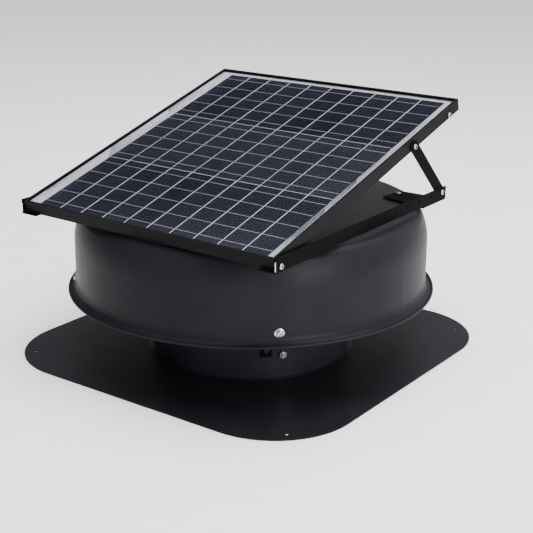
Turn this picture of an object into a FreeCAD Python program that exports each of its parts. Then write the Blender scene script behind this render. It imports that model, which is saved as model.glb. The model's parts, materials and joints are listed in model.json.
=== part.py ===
import FreeCAD, Part
import math
import os
import Sketcher

# Solar attic fan: flashing plate, throat collar, drum hood on four brackets, two rails
# with a hinged solar panel and two props, and a motor with an axial fan in the throat.
# Millimetres. Z is up, the origin is the middle of the plate's underside, -Y is the
# panel's low edge (the hinge) and +Y its raised edge.

SIZES = [
    # flashing plate and throat collar
    ("plate_side", 565.0, "side of the square flashing plate"),
    ("plate_corner", 122.0, "corner radius of the plate"),
    ("plate_thick", 1.5, "plate sheet"),
    ("mount_spacing", 470.0, "distance between the corner mounting holes"),
    ("mount_dia", 5.5, "mounting hole"),
    ("throat_dia", 304.8, "outside of the throat collar, 12 inch"),
    ("collar_sheet", 1.0, "collar sheet"),
    ("collar_top", 132.0, "height of the collar's upper edge"),
    ("foot_width", 5.0, "out-turned foot of the collar"),
    # hood
    ("hood_dia", 532.0, "outside of the hood's skirt"),
    ("hood_sheet", 1.2, "hood sheet"),
    ("hood_top", 224.6, "height of the hood's flat top"),
    ("shoulder_small", 17.0, "tight bend beside the flat top"),
    ("shoulder_large", 90.0, "slow bend from the shoulder into the skirt"),
    ("shoulder_lean", 25.0, "degrees that the slow bend turns"),
    ("rim_height", 98.8, "underside of the rolled rim"),
    ("flare_radius", 10.4, "flare between skirt and rim"),
    ("bead_radius", 2.0, "rolled edge"),
    ("grommet_offset", 70.0, "cable grommet from the fan's axis"),
    ("grommet_neck", 7.0, "grommet radius in the hood's hole"),
    # hood brackets and their screws
    ("strap_width", 18.0, "bracket strap"),
    ("strap_thick", 2.0, "bracket strap"),
    ("strap_foot", 36.0, "lower end of the strap"),
    ("strap_shelf", 110.0, "upper face of the strap's level run"),
    ("strap_tip", 128.0, "upper end of the strap"),
    ("hood_screw_z", 117.2, "hood screws"),
    ("strap_screw_z", 46.0, "strap screws in the collar"),
    ("bracket_turn", 45.0, "degrees from X to the first bracket"),
    # motor spider, guard
    ("spider_bolt_z", 38.5, "spider bolts through the collar"),
    ("spider_drop", 11.5, "from the bolts down to the spider's underside"),
    ("spider_thick", 3.0, "spider sheet"),
    ("spider_plate", 50.0, "radius of the spider's middle plate"),
    ("spider_arm", 20.0, "width of a spider arm"),
    ("spider_tab", 18.0, "height of the upturned tab above the arm"),
    ("spider_turn", -36.0, "degrees from X to the first arm"),
    ("guard_step", 28.0, "from one guard ring to the next"),
    ("guard_edge", 11.4, "from the guard's outer ring to the collar"),
    ("guard_wire", 1.5, "radius of the guard wire"),
    ("guard_gap", 2.5, "from the guard's wire up to the spider"),
    # motor
    ("motor_radius", 45.0, "motor can"),
    ("motor_height", 50.0, "motor can"),
    ("motor_wall", 2.5, "motor can and caps"),
    ("bearing_radius", 13.0, "ball bearing outside"),
    ("bearing_height", 8.0, "ball bearing"),
    ("shaft_radius", 5.0, "motor shaft"),
    ("core_inner", 30.0, "inside of the stator ring"),
    ("magnet_radius", 20.5, "rotor magnet"),
    ("magnet_height", 24.0, "rotor magnet and stator ring"),
    # fan
    ("blade_plane", 98.0, "height of the fan's disc"),
    ("fan_disc", 40.0, "radius of the fan's disc"),
    ("fan_sheet", 1.6, "blade and disc sheet"),
    ("tip_gap", 11.4, "from the blade tips to the collar"),
    ("root_chord", 46.0, "blade width at the disc"),
    ("tip_chord", 88.0, "blade width at the tip"),
    ("root_pitch", 34.0, "blade angle at the disc"),
    ("tip_pitch", 20.0, "blade angle at the tip"),
    ("hub_radius", 12.0, "hub boss"),
    ("hub_flange", 28.0, "hub flange radius"),
    # rails
    ("rail_sheet", 1.6, "rail sheet"),
    ("pad_thick", 1.0, "sealing washers between rail and hood"),
    ("rail_top", 247.0, "upper edge of the rails, the folded height"),
    ("rail_lift", 1.8, "from the ears' upper face to the upright's lower edge"),
    ("rail_nose", 10.5, "rail in front of the hinge"),
    ("rail_tail", 12.5, "rail behind the prop screw"),
    ("ear_reach", 78.0, "rear ear from the rail inwards"),
    ("ear_root", 67.5, "length of an ear along the rail"),
    ("ear_tip", 45.5, "length of an ear at its inner end"),
    ("nose_width", 28.0, "front tongue of the rail"),
    ("ear_screw_in", 71.0, "ear screw from the rail's outer face"),
    ("ear_screw_back", 20.0, "ear screw from the rear end of the rail"),
    ("hole_pitch", 35.4, "spare prop holes along the rail"),
    # panel
    ("panel_width", 447.0, "panel frame"),
    ("panel_length", 489.5, "panel frame along the slope"),
    ("frame_depth", 18.0, "panel frame"),
    ("frame_wall", 1.6, "frame outer wall"),
    ("frame_web", 1.4, "lip, ledge and foot of the frame"),
    ("frame_lip", 3.6, "lip over the glass"),
    ("frame_ledge", 8.0, "ledge under the laminate"),
    ("frame_foot", 14.0, "foot of the frame"),
    ("glass_thick", 3.2, "glass"),
    ("resin_thick", 0.8, "encapsulant with the cells"),
    ("sheet_thick", 0.4, "backsheet"),
    ("glass_gap", 0.5, "from the laminate's edge to the frame wall"),
    ("panel_tilt", 15.46, "degrees of tilt as propped"),
    ("cell_width", 39.2, "quarter cell across the panel"),
    ("cell_length", 157.1, "quarter cell along the slope"),
    ("cell_gap", 1.55, "between columns of cells"),
    ("row_gap", 1.0, "between rows of cells"),
    ("cell_thick", 0.3, "cell"),
    ("cell_shift", 3.3, "cell field from the panel's centre line"),
    ("cell_front", 5.3, "cell field from the panel's front edge"),
    # hinge and props
    ("hinge_front", 241.5, "hinge axis in front of the fan's axis"),
    ("hinge_lift", 6.3, "hinge axis above the rail ears"),
    ("hinge_setback", 6.0, "hinge axis behind the panel's front face"),
    ("hinge_drop", 13.5, "hinge axis below the panel's upper face"),
    ("prop_reach", 344.5, "from the hinge to the prop's upper pivot"),
    ("prop_foot_y", 177.5, "prop screw behind the fan's axis"),
    ("prop_foot_lift", 12.3, "prop screw above the rail ears"),
    ("prop_width", 19.0, "prop bar"),
    ("prop_thick", 1.6, "prop bar"),
    ("side_gap", 0.3, "clearance on each side of the prop bar"),
    ("stop_reach", 452.7, "from the hinge to the rear side screw"),
    ("screw_radius", 2.0, "M4 panel screws"),
    ("head_radius", 4.2, "head of the M4 screws"),
    ("head_height", 2.6, "head of the M4 screws"),
    ("flange_radius", 7.2, "flange of the hood screws"),
    ("pivot_gap", 0.05, "running clearance round a pivot"),
    # junction box
    ("box_width", 92.0, "junction box across the panel"),
    ("box_length", 58.0, "junction box along the slope"),
    ("box_height", 10.0, "junction box with its lid"),
    ("box_from_rear", 95.0, "middle of the box from the panel's rear edge"),
]

BLADES = 5
ARMS = 3
BRACKETS = 4
GUARD_RINGS = 5
CELL_COLUMNS = 10
CELL_ROWS = 3
SPARE_HOLES = 4
SIDES = (("left", -1), ("right", 1))

doc = FreeCAD.newDocument("SolarAtticFan")
sheet = doc.addObject("Spreadsheet::Sheet", "Dims")
nodes = []


class Size:
    """A length or angle that knows its value and its spreadsheet expression."""

    def __init__(self, value, text):
        self.value = float(value)
        self.text = text

    def __add__(self, other):
        return join(self, "+", other, self.value + amount(other))

    def __radd__(self, other):
        return join(other, "+", self, amount(other) + self.value)

    def __sub__(self, other):
        return join(self, "-", other, self.value - amount(other))

    def __rsub__(self, other):
        return join(other, "-", self, amount(other) - self.value)

    def __mul__(self, other):
        return join(self, "*", other, self.value * amount(other))

    def __rmul__(self, other):
        return join(other, "*", self, amount(other) * self.value)

    def __truediv__(self, other):
        return join(self, "/", other, self.value / amount(other))

    def __neg__(self):
        return join(0, "-", self, -self.value)


class Dims:
    """One Size for each named cell of the spreadsheet."""


def amount(term):
    return term.value if isinstance(term, Size) else float(term)


def wording(term):
    return term.text if isinstance(term, Size) else repr(term)


def join(left, sign, right, value):
    return Size(value, "(%s %s %s)" % (wording(left), sign, wording(right)))


def cosine(angle):
    return Size(math.cos(math.radians(amount(angle))), "cos(%s)" % wording(angle))


def sine(angle):
    return Size(math.sin(math.radians(amount(angle))), "sin(%s)" % wording(angle))


def length_of(across, up):
    return Size(math.hypot(amount(across), amount(up)), "hypot(%s; %s)" % (across.text, up.text))


def heading(across, up):
    value = math.degrees(math.atan2(amount(up), amount(across)))
    return Size(value, "atan2(%s; %s) / 1 deg" % (up.text, across.text))


def fill_sheet():
    """Write the named sizes to the spreadsheet and hand them back as Sizes."""
    dims = Dims()
    for row, (alias, value, note) in enumerate(SIZES, 1):
        sheet.set("A%d" % row, alias)
        sheet.set("B%d" % row, str(value))
        sheet.set("C%d" % row, note)
        sheet.setAlias("B%d" % row, alias)
        setattr(dims, alias, Size(value, "Dims." + alias))
    doc.recompute()
    return dims


# ---------------------------------------------------------------- general builders


def bind(item, prop, term):
    """Set a property and tie it to the sheet when the term comes from there."""
    setattr(item, prop, amount(term))
    if isinstance(term, Size):
        item.setExpression(prop, term.text)


def place(item, x=0, y=0, z=0, axis=(0, 0, 1), angle=0):
    """Put an object at a point, turned about an axis, with every Size bound."""
    spot = FreeCAD.Vector(amount(x), amount(y), amount(z))
    turn = FreeCAD.Rotation(FreeCAD.Vector(*axis), amount(angle))
    item.Placement = FreeCAD.Placement(spot, turn)
    for name, term in (("x", x), ("y", y), ("z", z)):
        if isinstance(term, Size):
            item.setExpression("Placement.Base." + name, term.text)
    if isinstance(angle, Size):
        item.setExpression("Placement.Rotation.Angle", angle.text)
    return item


def box(name, x, y, z, long, wide, high):
    """Box from its lowest corner."""
    item = doc.addObject("Part::Box", name)
    bind(item, "Length", long)
    bind(item, "Width", wide)
    bind(item, "Height", high)
    return place(item, x, y, z)


def rod(name, radius, height, x=0, y=0, z=0, along="z"):
    """Cylinder that starts at a point and runs along +X, +Y or +Z."""
    item = doc.addObject("Part::Cylinder", name)
    bind(item, "Radius", radius)
    bind(item, "Height", height)
    if along == "x":
        return place(item, x, y, z, (0, 1, 0), 90)
    if along == "y":
        return place(item, x, y, z, (1, 0, 0), -90)
    return place(item, x, y, z)


def hexagon(name, radius, height, x, y, z, along="z"):
    """Hexagonal nut blank that runs along +X or +Z."""
    item = doc.addObject("Part::Prism", name)
    item.Polygon = 6
    bind(item, "Circumradius", radius)
    bind(item, "Height", height)
    if along == "x":
        return place(item, x, y, z, (0, 1, 0), 90)
    return place(item, x, y, z)


def wire_ring(name, major, minor, z):
    item = doc.addObject("Part::Torus", name)
    bind(item, "Radius1", major)
    bind(item, "Radius2", minor)
    return place(item, 0, 0, z)


def fuse(name, parts):
    item = doc.addObject("Part::MultiFuse", name)
    item.Shapes = parts
    return item


def cut(name, base, tool):
    item = doc.addObject("Part::Cut", name)
    item.Base = base
    item.Tool = tool
    return item


def group(name, parts):
    """Several identical pieces that share one node."""
    item = doc.addObject("Part::Compound", name)
    item.Links = parts
    return item


def keep(item, label):
    """Name a finished sub-part; the label becomes its node and file name."""
    item.Label = label
    nodes.append(item)
    return item


def turned(piece, angle):
    """A piece turned about the fan's axis with its own place kept."""
    return place(group(piece.Name + "_turned", [piece]), angle=angle)


def around(label, count, first, make):
    """Pieces made at +X and turned about Z, evenly spaced from the first angle."""
    parts = []
    for index in range(count):
        piece = make("%s_%d" % (label, index))
        parts.append(turned(piece, first + 360.0 / count * index))
    return keep(group(label + "_set", parts), label)


# ---------------------------------------------------------------- sketched bodies


def body(label):
    return keep(blank(label), label)


def blank(label):
    """Body that is finished by a later cut."""
    return doc.addObject("PartDesign::Body", label + "_body")


def sketch(owner, name, role, offset=0):
    """Sketch on one of the body's own origin planes, lifted along its normal."""
    item = owner.newObject("Sketcher::SketchObject", name)
    plane = [face for face in owner.Origin.OriginFeatures if face.Role == role][0]
    item.AttachmentSupport = [(plane, "")]
    item.MapMode = "FlatFace"
    item.AttachmentOffset = FreeCAD.Placement(FreeCAD.Vector(0, 0, amount(offset)), FreeCAD.Rotation())
    if isinstance(offset, Size):
        item.setExpression("AttachmentOffset.Base.z", offset.text)
    return item


def pin_point(item, geometry, end, x, y):
    """Fix a sketch point at (x, y) from the sketch's origin."""
    for kind, term, axis in (("DistanceX", x, -2), ("DistanceY", y, -1)):
        value = amount(term)
        if abs(value) < 1e-9:
            item.addConstraint(Sketcher.Constraint("PointOnObject", geometry, end, axis))
            continue
        if value > 0:
            rule = Sketcher.Constraint(kind, -1, 1, geometry, end, value)
            text = wording(term)
        else:
            rule = Sketcher.Constraint(kind, geometry, end, -1, 1, -value)
            text = "-(%s)" % wording(term)
        index = item.addConstraint(rule)
        if isinstance(term, Size):
            item.setExpression("Constraints[%d]" % index, text)


def arc_between(start, end, radius, turn):
    """Short arc from start to end; turn is +1 for anticlockwise, -1 for clockwise."""
    chord = end - start
    half = chord.Length / 2
    rise = math.sqrt(max(radius * radius - half * half, 0))
    left = FreeCAD.Vector(-chord.y, chord.x, 0).normalize()
    centre = start + chord * 0.5 + left * (rise * turn)
    first = start - centre
    last = end - centre
    angle_a = math.atan2(first.y, first.x)
    angle_b = math.atan2(last.y, last.x)
    if turn < 0:
        angle_a, angle_b = angle_b, angle_a
    if angle_b < angle_a:
        angle_b += 2 * math.pi
    circle = Part.Circle(centre, FreeCAD.Vector(0, 0, 1), radius)
    return Part.ArcOfCircle(circle, angle_a, angle_b)


def outline(item, points, arcs=None):
    """Closed outline through points; arcs maps a segment to (radius, turn)."""
    arcs = arcs or {}
    spots = [FreeCAD.Vector(amount(x), amount(y), 0) for x, y in points]
    ends = []
    for index, spot in enumerate(spots):
        following = spots[(index + 1) % len(spots)]
        if index in arcs:
            radius, turn = arcs[index]
            number = item.addGeometry(arc_between(spot, following, amount(radius), turn))
            ends.append((number, 1, 2) if turn > 0 else (number, 2, 1))
        else:
            number = item.addGeometry(Part.LineSegment(spot, following))
            ends.append((number, 1, 2))
    for index, (number, start, finish) in enumerate(ends):
        after, after_start, _ = ends[(index + 1) % len(ends)]
        item.addConstraint(Sketcher.Constraint("Coincident", number, finish, after, after_start))
    for index, (number, start, finish) in enumerate(ends):
        pin_point(item, number, start, *points[index])
        if index in arcs:
            radius = arcs[index][0]
            rule = item.addConstraint(Sketcher.Constraint("Radius", number, amount(radius)))
            item.setExpression("Constraints[%d]" % rule, wording(radius))
    return item


def circle_in(item, x, y, radius):
    centre = FreeCAD.Vector(amount(x), amount(y), 0)
    number = item.addGeometry(Part.Circle(centre, FreeCAD.Vector(0, 0, 1), amount(radius)))
    pin_point(item, number, 3, x, y)
    rule = item.addConstraint(Sketcher.Constraint("Radius", number, amount(radius)))
    if isinstance(radius, Size):
        item.setExpression("Constraints[%d]" % rule, radius.text)


def pad(owner, name, profile, length, backwards=False):
    item = owner.newObject("PartDesign::Pad", name)
    item.Profile = profile
    bind(item, "Length", length)
    item.Reversed = backwards
    return item


def drill(owner, name, profile):
    """Pocket through everything on both sides of the sketch, checked to remove metal."""
    doc.recompute()
    before = owner.Shape.Volume
    item = owner.newObject("PartDesign::Pocket", name)
    item.Profile = profile
    item.Type = "ThroughAll"
    item.Midplane = True
    doc.recompute()
    if not item.Shape.Volume < before - 1e-6:
        raise RuntimeError(name + " removed nothing")
    return item


def spin(owner, name, profile):
    """Revolve an XZ sketch about the vertical axis."""
    item = owner.newObject("PartDesign::Revolution", name)
    item.Profile = profile
    item.ReferenceAxis = (profile, ["V_Axis"])
    item.Angle = 360
    return item


# ---------------------------------------------------------------- shared places


d = fill_sheet()

collar_out = d.throat_dia / 2
collar_in = collar_out - d.collar_sheet
hood_out = d.hood_dia / 2
hood_in = hood_out - d.hood_sheet
ear_low = d.hood_top + d.pad_thick
ear_high = ear_low + d.rail_sheet
rail_in = d.panel_width / 2 + d.side_gap * 2 + d.prop_thick
rail_out = rail_in + d.rail_sheet
rail_front = -(d.hinge_front + d.rail_nose)
rail_rear = d.prop_foot_y + d.rail_tail
hinge_y = -d.hinge_front
hinge_z = ear_high + d.hinge_lift
spider_low = d.spider_bolt_z - d.spider_drop
spider_high = spider_low + d.spider_thick
guard_outer = collar_in - d.guard_edge
motor_top = spider_high + d.motor_height
panel_front = -d.hinge_setback
panel_rear = d.panel_length - d.hinge_setback
frame_top = d.hinge_drop
frame_low = d.hinge_drop - d.frame_depth
glass_top = frame_top - d.frame_web
glass_low = glass_top - d.glass_thick
resin_low = glass_low - d.resin_thick
laminate_low = resin_low - d.sheet_thick
ledge_low = laminate_low - d.frame_web
prop_top_y = hinge_y + d.prop_reach * cosine(d.panel_tilt)
prop_top_z = hinge_z + d.prop_reach * sine(d.panel_tilt)
prop_foot_z = ear_high + d.prop_foot_lift
prop_length = length_of(d.prop_foot_y - prop_top_y, prop_foot_z - prop_top_z)
prop_angle = heading(d.prop_foot_y - prop_top_y, prop_foot_z - prop_top_z)
prop_in = d.panel_width / 2 + d.side_gap
ear_screw_x = rail_out - d.ear_screw_in
ear_screw_y = rail_rear - d.ear_screw_back


def tilted(item, label):
    """Finish a panel piece: it is drawn flat about the hinge, then tilted."""
    whole = group(label + "_tilted", [item])
    place(whole, 0, hinge_y, hinge_z, (1, 0, 0), d.panel_tilt)
    return keep(whole, label)


# ---------------------------------------------------------------- plate and collar


def base_flange():
    owner = body("base_flange")
    half = d.plate_side / 2
    profile = sketch(owner, "PlateOutline", "XY_Plane")
    outline(profile, [(-half, -half), (half, -half), (half, half), (-half, half)])
    plate = pad(owner, "Plate", profile, d.plate_thick)
    doc.recompute()
    upright = [
        "Edge%d" % number
        for number, edge in enumerate(plate.Shape.Edges, 1)
        if abs(edge.tangentAt(edge.FirstParameter).z) > 0.9
    ]
    corners = owner.newObject("PartDesign::Fillet", "PlateCorners")
    corners.Base = (plate, upright)
    bind(corners, "Radius", d.plate_corner)
    holes = sketch(owner, "PlateHoles", "XY_Plane")
    circle_in(holes, 0, 0, collar_in)
    reach = d.mount_spacing / 2
    for sign_x in (-1, 1):
        for sign_y in (-1, 1):
            circle_in(holes, sign_x * reach, sign_y * reach, d.mount_dia / 2)
    drill(owner, "PlateDrilling", holes)


def throat_collar():
    owner = blank("throat_collar")
    low = d.plate_thick
    foot_high = low + d.collar_sheet
    profile = sketch(owner, "CollarOutline", "XZ_Plane")
    outline(profile, [
        (collar_in, low),
        (collar_out + d.foot_width, low),
        (collar_out + d.foot_width, foot_high),
        (collar_out, foot_high),
        (collar_out, d.collar_top),
        (collar_in, d.collar_top),
    ])
    spin(owner, "CollarTurned", profile)
    holes = []
    for index in range(BRACKETS):
        hole = rod("StrapHole%d" % index, d.screw_radius, 12, collar_in - 6, 0, d.strap_screw_z, "x")
        holes.append(turned(hole, d.bracket_turn + 360.0 / BRACKETS * index))
    for index in range(ARMS):
        hole = rod("BoltHole%d" % index, 3.0, 12, collar_in - 6, 0, d.spider_bolt_z, "x")
        holes.append(turned(hole, d.spider_turn + 360.0 / ARMS * index))
    keep(cut("CollarDrilled", owner, fuse("CollarHoles", holes)), "throat_collar")


# ---------------------------------------------------------------- hood


def hood_shell():
    owner = blank("hood_shell")
    sheet_thick = d.hood_sheet
    top = d.hood_top
    lean_cos = cosine(d.shoulder_lean)
    lean_sin = sine(d.shoulder_lean)
    large_x = hood_out - d.shoulder_large
    flat = large_x + (d.shoulder_large - d.shoulder_small) * lean_cos
    small_z = top - d.shoulder_small
    large_z = small_z + (d.shoulder_small - d.shoulder_large) * lean_sin
    flare_z = d.rim_height + d.bead_radius + sheet_thick / 2 + d.flare_radius
    lip_x = hood_out + d.flare_radius
    small_in = d.shoulder_small - sheet_thick
    large_in = d.shoulder_large - sheet_thick
    flare_in = d.flare_radius + sheet_thick
    profile = sketch(owner, "HoodOutline", "XZ_Plane")
    outline(profile, [
        (0, top),
        (flat, top),
        (large_x + d.shoulder_large * lean_cos, large_z + d.shoulder_large * lean_sin),
        (hood_out, large_z),
        (hood_out, flare_z),
        (lip_x, flare_z - d.flare_radius),
        (lip_x, flare_z - flare_in),
        (hood_in, flare_z),
        (hood_in, large_z),
        (large_x + large_in * lean_cos, large_z + large_in * lean_sin),
        (flat, top - sheet_thick),
        (0, top - sheet_thick),
    ], {
        1: (d.shoulder_small, -1),
        2: (d.shoulder_large, -1),
        4: (d.flare_radius, 1),
        6: (flare_in, -1),
        8: (large_in, 1),
        9: (small_in, 1),
    })
    spin(owner, "HoodDrawn", profile)
    bead = sketch(owner, "RimBead", "XZ_Plane")
    circle_in(bead, lip_x, d.rim_height + d.bead_radius, d.bead_radius)
    spin(owner, "RimRolled", bead)
    holes = sketch(owner, "HoodHoles", "XY_Plane", top)
    circle_in(holes, -d.grommet_offset, d.grommet_offset, d.grommet_neck)
    for sign_x in (-1, 1):
        for sign_y in (-1, 1):
            circle_in(holes, sign_x * ear_screw_x, sign_y * ear_screw_y, d.screw_radius)
    drill(owner, "HoodDrilling", holes)
    sides = []
    for index in range(BRACKETS):
        hole = rod("SkirtHole%d" % index, d.screw_radius, 12, hood_in - 6, 0, d.hood_screw_z, "x")
        sides.append(turned(hole, d.bracket_turn + 360.0 / BRACKETS * index))
    keep(cut("HoodDrilled", owner, fuse("SkirtHoles", sides)), "hood_shell")


def hood_grommet():
    """Grommet with a thin web that the motor's lead is pushed through."""
    x = -d.grommet_offset
    y = d.grommet_offset
    under = d.hood_top - d.hood_sheet
    rim = d.grommet_neck + 2.5
    rubber = fuse("GrommetRubber", [
        rod("GrommetTop", rim, 2.0, x, y, d.hood_top),
        rod("GrommetNeck", d.grommet_neck, d.hood_sheet, x, y, under),
        rod("GrommetUnder", rim, 2.0, x, y, under - 2.0),
    ])
    hollow = d.grommet_neck - 3.5
    upper = rod("GrommetUpper", hollow, 6, x, y, d.hood_top - 0.2)
    lower = rod("GrommetLower", hollow, 6, x, y, under - 6 + 0.2)
    keep(cut("GrommetCut", rubber, fuse("GrommetHollows", [upper, lower])), "hood_grommet")


def hood_bracket(name):
    """Strap from the collar's outside, level under the skirt, and up inside it."""
    half = d.strap_width / 2
    thick = d.strap_thick
    wide = d.strap_width
    shelf_low = d.strap_shelf - thick
    tab_out = hood_in - 0.3
    return fuse(name, [
        box(name + "_leg", collar_out, -half, d.strap_foot, thick, wide, d.strap_shelf - d.strap_foot),
        box(name + "_run", collar_out, -half, shelf_low, tab_out - collar_out, wide, thick),
        box(name + "_tab", tab_out - thick, -half, shelf_low, thick, wide, d.strap_tip - shelf_low),
    ])


def hood_side_screw(name):
    """Flanged screw through the hood's skirt into the bracket's tab."""
    seat = hood_out + 0.05
    inner = hood_in - 0.3 - d.strap_thick
    return fuse(name, [
        rod(name + "_flange", d.flange_radius, 1.2, seat, 0, d.hood_screw_z, "x"),
        rod(name + "_head", d.head_radius, d.head_height, seat + 1.2, 0, d.hood_screw_z, "x"),
        rod(name + "_shank", d.screw_radius, seat - inner + 6.0, inner - 6.0, 0, d.hood_screw_z, "x"),
    ])


def bracket_nut(name):
    inner = hood_in - 0.3 - d.strap_thick
    blank = hexagon(name + "_hex", 4.6, 3.2, inner - 3.2, 0, d.hood_screw_z, "x")
    bore = rod(name + "_bore", d.screw_radius, 12, inner - 8, 0, d.hood_screw_z, "x")
    return cut(name, blank, bore)


def strap_screw(name):
    """Screw that holds a strap's foot to the collar."""
    face = collar_out + d.strap_thick
    tip = collar_in - 5.0
    return fuse(name, [
        rod(name + "_head", d.head_radius, d.head_height, face, 0, d.strap_screw_z, "x"),
        rod(name + "_shank", d.screw_radius, face - tip, tip, 0, d.strap_screw_z, "x"),
    ])


def drilled_bracket(name):
    plain = hood_bracket(name + "_strap")
    upper = rod(name + "_upper", d.screw_radius, 12, hood_in - 8, 0, d.hood_screw_z, "x")
    lower = rod(name + "_lower", d.screw_radius, 12, collar_out - 4, 0, d.strap_screw_z, "x")
    return cut(name, plain, fuse(name + "_drills", [upper, lower]))


# ---------------------------------------------------------------- motor, guard, fan


def motor_spider():
    tab_out = collar_in - 0.6
    parts = [rod("SpiderPlate", d.spider_plate, d.spider_thick, 0, 0, spider_low)]
    for index in range(ARMS):
        name = "SpiderArm%d" % index
        arm = fuse(name, [
            box(name + "_run", 20, -d.spider_arm / 2, spider_low,
                tab_out - 20, d.spider_arm, d.spider_thick),
            box(name + "_tab", tab_out - d.spider_thick, -d.spider_arm / 2, spider_low,
                d.spider_thick, d.spider_arm, d.spider_tab + d.spider_thick),
        ])
        hole = rod(name + "_hole", 3.0, 12, tab_out - 8, 0, d.spider_bolt_z, "x")
        whole = cut(name + "_drilled", arm, hole)
        parts.append(place(whole, angle=d.spider_turn + 360.0 / ARMS * index))
    tools = [rod("SpiderCentre", d.bearing_radius + 2, 20, 0, 0, spider_low - 5)]
    for index in range(3):
        hole = rod("SpiderScrewHole%d" % index, 2.5, 12, d.motor_radius - 12, 0, spider_low - 4)
        tools.append(turned(hole, 120.0 * index))
    keep(cut("SpiderCut", fuse("SpiderBlank", parts), fuse("SpiderTools", tools)), "motor_spider")


def spider_bolt(name):
    inner = collar_in - 0.6 - d.spider_thick
    return fuse(name, [
        rod(name + "_head", 5.0, 3.5, inner - 3.5, 0, d.spider_bolt_z, "x"),
        rod(name + "_shank", 3.0, collar_out + 8.0 - inner, inner, 0, d.spider_bolt_z, "x"),
    ])


def spider_nut(name):
    start = collar_out + 0.1
    blank = hexagon(name + "_hex", 5.8, 5.0, start, 0, d.spider_bolt_z, "x")
    return cut(name, blank, rod(name + "_bore", 3.0, 12, start - 3, 0, d.spider_bolt_z, "x"))


def inlet_guard():
    level = spider_low - d.guard_gap - d.guard_wire
    parts = []
    for ring in range(GUARD_RINGS):
        parts.append(wire_ring("GuardRing%d" % ring, guard_outer - d.guard_step * ring, d.guard_wire, level))
    for bar in range(3):
        wire = rod("GuardBar%d" % bar, d.guard_wire, guard_outer * 2, -guard_outer, 0, level, "x")
        parts.append(turned(wire, d.spider_turn + 60.0 * bar))
    keep(fuse("GuardWelded", parts), "inlet_guard")


def guard_clip(name):
    """Block between a spider arm and the guard's outer ring."""
    level = spider_low - d.guard_gap - d.guard_wire
    low = level - d.guard_wire - 1.5
    block = box(name + "_block", guard_outer - 5, -7, low, 10, 14, spider_low - low)
    groove = wire_ring(name + "_groove", guard_outer, d.guard_wire, level)
    bar = rod(name + "_bar", d.guard_wire, guard_outer, 0, 0, level, "x")
    return cut(name, block, fuse(name + "_seat", [groove, bar]))


def motor_case():
    can = sketch(body("motor_housing"), "CanOutline", "XZ_Plane")
    owner = nodes[-1]
    inside = d.motor_radius - d.motor_wall
    seat_low = motor_top - d.motor_wall - d.bearing_height
    outline(can, [
        (inside, spider_high),
        (d.motor_radius, spider_high),
        (d.motor_radius, motor_top),
        (d.shaft_radius + 2, motor_top),
        (d.shaft_radius + 2, motor_top - d.motor_wall),
        (d.bearing_radius, motor_top - d.motor_wall),
        (d.bearing_radius, seat_low),
        (d.bearing_radius + 3, seat_low),
        (d.bearing_radius + 3, motor_top - d.motor_wall),
        (inside, motor_top - d.motor_wall),
    ])
    spin(owner, "CanTurned", can)
    cap = sketch(body("motor_cap"), "CapOutline", "XZ_Plane")
    seat_high = spider_high + d.motor_wall + d.bearing_height
    outline(cap, [
        (d.shaft_radius + 2, spider_high),
        (inside, spider_high),
        (inside, spider_high + d.motor_wall),
        (d.bearing_radius + 3, spider_high + d.motor_wall),
        (d.bearing_radius + 3, seat_high),
        (d.bearing_radius, seat_high),
        (d.bearing_radius, spider_high + d.motor_wall),
        (d.shaft_radius + 2, spider_high + d.motor_wall),
    ])
    spin(nodes[-1], "CapTurned", cap)


def bearing(label, low):
    outer = rod(label + "_ring", d.bearing_radius, d.bearing_height, 0, 0, low)
    bore = rod(label + "_bore", d.shaft_radius + d.pivot_gap, d.bearing_height + 4, 0, 0, low - 2)
    keep(cut(label + "_cut", outer, bore), label)


def core_level():
    return spider_high + (d.motor_height - d.magnet_height) / 2


def stator():
    outer = rod("CoreOuter", d.motor_radius - d.motor_wall, d.magnet_height, 0, 0, core_level())
    inner = rod("CoreInner", d.core_inner, d.magnet_height + 4, 0, 0, core_level() - 2)
    keep(cut("CoreCut", outer, inner), "stator_core")


def stator_coil(name):
    start = d.magnet_radius + 2.5
    reach = d.core_inner - 0.3 - start
    return box(name, start, -4, core_level() + 2, reach, 8, d.magnet_height - 4)


def motor_screw(name):
    x = d.motor_radius - 12
    return fuse(name, [
        rod(name + "_head", 4.2, 2.6, x, 0, spider_low - 2.6),
        rod(name + "_shank", 2.5, d.spider_thick, x, 0, spider_low),
    ])


def rotor():
    low = spider_high + d.motor_wall + 0.5
    top = d.blade_plane + 14
    keep(rod("ShaftRod", d.shaft_radius, top - low, 0, 0, low), "motor_shaft")
    magnet = rod("MagnetOuter", d.magnet_radius, d.magnet_height, 0, 0, core_level())
    bore = rod("MagnetBore", d.shaft_radius, d.magnet_height + 4, 0, 0, core_level() - 2)
    keep(cut("MagnetCut", magnet, bore), "rotor_magnet")


def fan_hub():
    owner = body("fan_hub")
    profile = sketch(owner, "HubOutline", "XZ_Plane")
    low = d.blade_plane - 4
    outline(profile, [
        (d.shaft_radius, low - 5),
        (d.hub_radius, low - 5),
        (d.hub_radius, low),
        (d.hub_flange, low),
        (d.hub_flange, d.blade_plane),
        (d.hub_radius - 2, d.blade_plane),
        (d.hub_radius - 2, d.blade_plane + 10),
        (d.shaft_radius, d.blade_plane + 10),
    ])
    spin(owner, "HubTurned", profile)


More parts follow.
